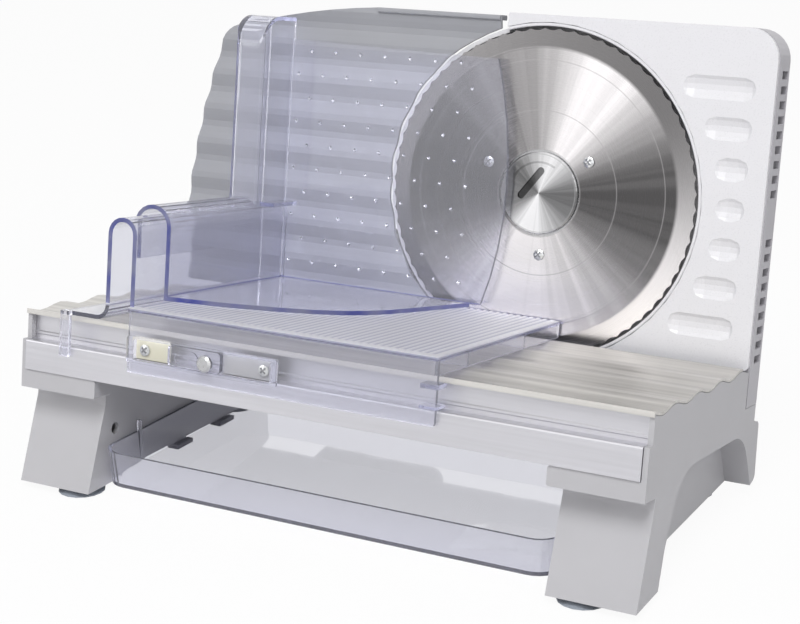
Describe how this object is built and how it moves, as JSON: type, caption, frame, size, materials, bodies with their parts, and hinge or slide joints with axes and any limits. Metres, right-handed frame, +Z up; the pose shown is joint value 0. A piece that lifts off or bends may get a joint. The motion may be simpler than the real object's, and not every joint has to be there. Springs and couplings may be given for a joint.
{
  "type": "electric food slicer",
  "caption": "Electric food slicer with a leaning serrated round blade, a thickness gauge, a clear sliding carriage with food holder, and a catch tray, on suction feet.",
  "frame": {"origin": "on the table, under the middle of the object's box", "axes": "+Z up, +X to the right of someone who faces the blade, +Y away from them"},
  "size_m": [0.38, 0.2644, 0.2674],
  "materials": {
    "deck": "brushed, with soft waves",
    "rail": "satin",
    "cheek": "fine grain, silver grey",
    "panel": "silver white, satin gloss",
    "gauge": "satin, grey",
    "blade": "turned finish, fine circles",
    "steel": "plain",
    "clear": "clear, blue in its edges",
    "cream": "plain",
    "strip": "plain",
    "rubber": "soft",
    "black": "fine grain",
    "gear": "moulded"
  },
  "bodies": {
    "base": {"deck": "deck", "front_rail": "rail", "base_pan": "cheek", "left_cheek": "cheek", "right_cheek": "cheek", "suction_foot_front_left": "rubber", "suction_foot_front_right": "rubber", "suction_foot_rear_left": "rubber", "suction_foot_rear_right": "rubber", "blade_panel": "panel", "rear_cover": "panel", "cover_screw_1": "steel", "cover_screw_2": "steel", "cover_screw_3": "steel", "cover_screw_4": "steel", "cord_gland": "black", "power_switch": "black", "safety_switch": "black", "axle_bush": "steel", "gear_frame": "steel", "motor": "steel", "gauge_bracket": "cheek"},
    "blade_unit": {"blade": "blade", "blade_hub": "gear", "blade_screw_1": "steel", "blade_screw_2": "steel", "blade_screw_3": "steel", "blade_axle": "steel", "axle_clip": "steel", "wheel_spacer": "gear", "worm_wheel": "gear"},
    "hub_cap": {"hub_lock": "steel"},
    "armature": {"motor_rotor": "steel", "cooling_fan": "gear"},
    "gauge": {"gauge_plate": "gauge", "guide_rod_left": "steel", "guide_rod_right": "steel"},
    "dial": {"thickness_dial": "black"},
    "carriage_unit": {"carriage": "clear", "latch_plate": "cream", "latch_strip": "strip", "latch_screw_1": "steel", "latch_screw_2": "steel"},
    "latch": {"latch_slider": "clear", "latch_knob": "steel"},
    "holder": {"food_holder": "clear"},
    "tray": {"catch_tray": "clear"},
    "power_key": {"power_button": "black"},
    "safety_key": {"safety_button": "black"}
  },
  "joints": [
    {"name": "blade_spin", "type": "hinge", "parent": "base", "child": "blade_unit", "pos_m": [0.056, 0.04865, 0.1658], "axis": [0, 0.9903, -0.1392], "continuous": true},
    {"name": "motor_spin", "type": "hinge", "parent": "base", "child": "armature", "pos_m": [0.1, 0.08653, 0.112], "axis": [1, 0, 0], "continuous": true},
    {"name": "hub_lock_turn", "type": "hinge", "parent": "blade_unit", "child": "hub_cap", "pos_m": [0.056, 0.04865, 0.1658], "axis": [0, 0.9903, -0.1392], "range_deg": [0, 90]},
    {"name": "dial_turn", "type": "hinge", "parent": "base", "child": "dial", "pos_m": [-0.065, 0.08953, 0.09745], "axis": [0, 0.9903, -0.1392], "range_deg": [0, 300]},
    {"name": "gauge_slide", "type": "slide", "parent": "base", "child": "gauge", "axis": [0, 0.9903, -0.1392], "range_m": [0, 0.015]},
    {"name": "carriage_slide", "type": "slide", "parent": "base", "child": "carriage_unit", "axis": [1, 0, 0], "range_m": [-0.025, 0.11]},
    {"name": "latch_slide", "type": "slide", "parent": "carriage_unit", "child": "latch", "axis": [1, 0, 0], "range_m": [-0.011, 0.012]},
    {"name": "holder_slide", "type": "slide", "parent": "carriage_unit", "child": "holder", "axis": [0, -0.9903, 0.1392], "range_m": [0, 0.1]},
    {"name": "tray_slide", "type": "slide", "parent": "base", "child": "tray", "axis": [0, -1, 0], "range_m": [0, 0.12]},
    {"name": "power_press", "type": "slide", "parent": "base", "child": "power_key", "axis": [0, -0.9903, 0.1392], "range_m": [0, 0.003], "stiffness_N_per_m": 500, "springref_m": -0.002},
    {"name": "safety_press", "type": "slide", "parent": "base", "child": "safety_key", "axis": [0, -0.9903, 0.1392], "range_m": [0, 0.003], "stiffness_N_per_m": 500, "springref_m": -0.002}
  ],
  "couplings": [
    {"joint": "motor_spin", "follows": "blade_spin", "ratio": 20},
    {"joint": "dial_turn", "follows": "gauge_slide", "rad_per_m": 349.07}
  ]
}
